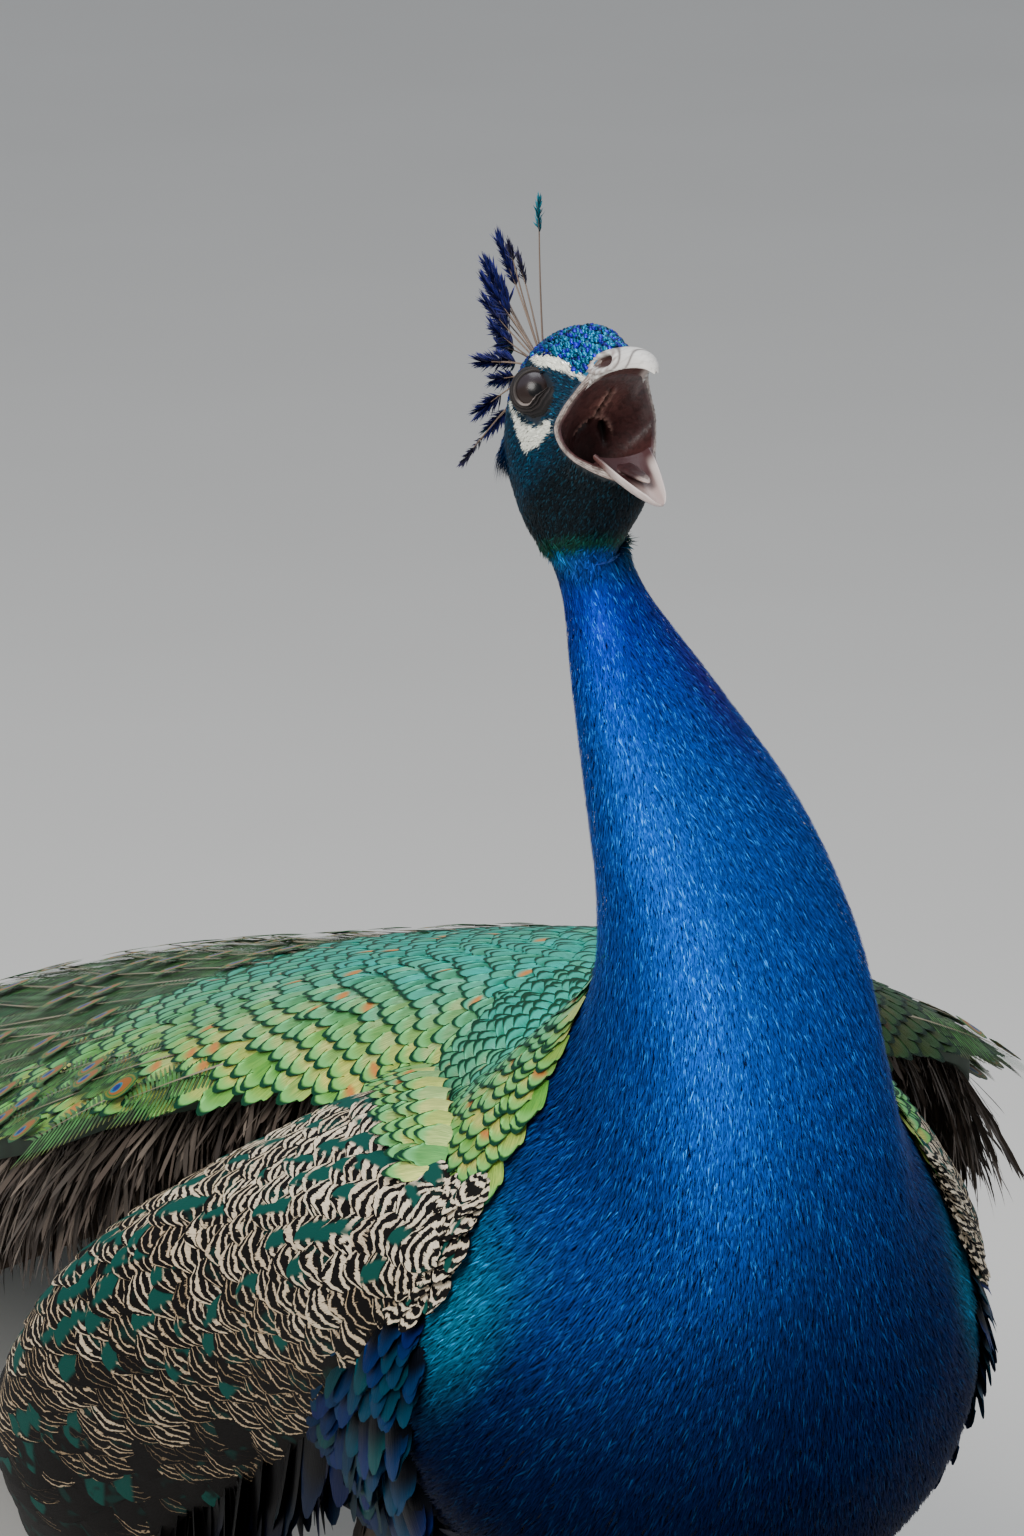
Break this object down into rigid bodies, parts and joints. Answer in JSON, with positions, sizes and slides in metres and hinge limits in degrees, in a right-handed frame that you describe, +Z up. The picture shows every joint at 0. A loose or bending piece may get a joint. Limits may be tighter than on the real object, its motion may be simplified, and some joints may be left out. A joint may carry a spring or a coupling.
{
  "type": "peacock",
  "caption": "Standing adult male Indian peafowl, life size, neck raised and bill wide open in a call, with fan crest and folded train resting on the floor",
  "frame": {"origin": "on the floor, under the middle of the bird's overall box", "axes": "+Z up, the bird faces -Y with its train towards +Y, +X is the bird's left; metres"},
  "size_m": [0.457, 1.78, 0.8436],
  "materials": {
    "blue_feathers": "glossy barbs with a metallic sheen",
    "head_feathers": "short glossy scales",
    "crest_feathers": "bare shafts with blue fans",
    "dark_feathers": "soft matt",
    "barred_feathers": "matt with wavy bars",
    "rufous_feathers": "smooth vanes",
    "scaled_feathers": "metallic scales",
    "train_feathers": "loose bronze-green barbs with eyespots",
    "tail_feathers": "matt vanes",
    "bill_horn": "satin horn",
    "mouth_skin": "moist",
    "eye": "wet gloss",
    "leg_skin": "scaled",
    "claw_horn": "horn"
  },
  "bodies": {
    "root": {"rump": "dark_feathers", "trunk": "dark_feathers", "breast": "blue_feathers", "neck_lower": "blue_feathers", "neck_middle": "blue_feathers", "neck_upper": "blue_feathers", "head": "head_feathers", "bill_upper": "bill_horn", "bill_lower": "bill_horn", "tongue": "mouth_skin", "eye_left": "eye", "eye_right": "eye", "crest": "crest_feathers", "wing_right": "barred_feathers", "flight_feathers_right": "rufous_feathers", "wing_left": "barred_feathers", "flight_feathers_left": "rufous_feathers", "thigh_right": "dark_feathers", "shank_right": "leg_skin", "spur_right": "claw_horn", "claw_inner_right": "claw_horn", "claw_middle_right": "claw_horn", "claw_outer_right": "claw_horn", "claw_hind_right": "claw_horn", "foot_right": "leg_skin", "thigh_left": "dark_feathers", "shank_left": "leg_skin", "spur_left": "claw_horn", "claw_inner_left": "claw_horn", "claw_middle_left": "claw_horn", "claw_outer_left": "claw_horn", "claw_hind_left": "claw_horn", "foot_left": "leg_skin", "cape": "scaled_feathers", "train_middle": "train_feathers", "train_end": "train_feathers", "tail": "tail_feathers"}
  },
  "joints": []
}
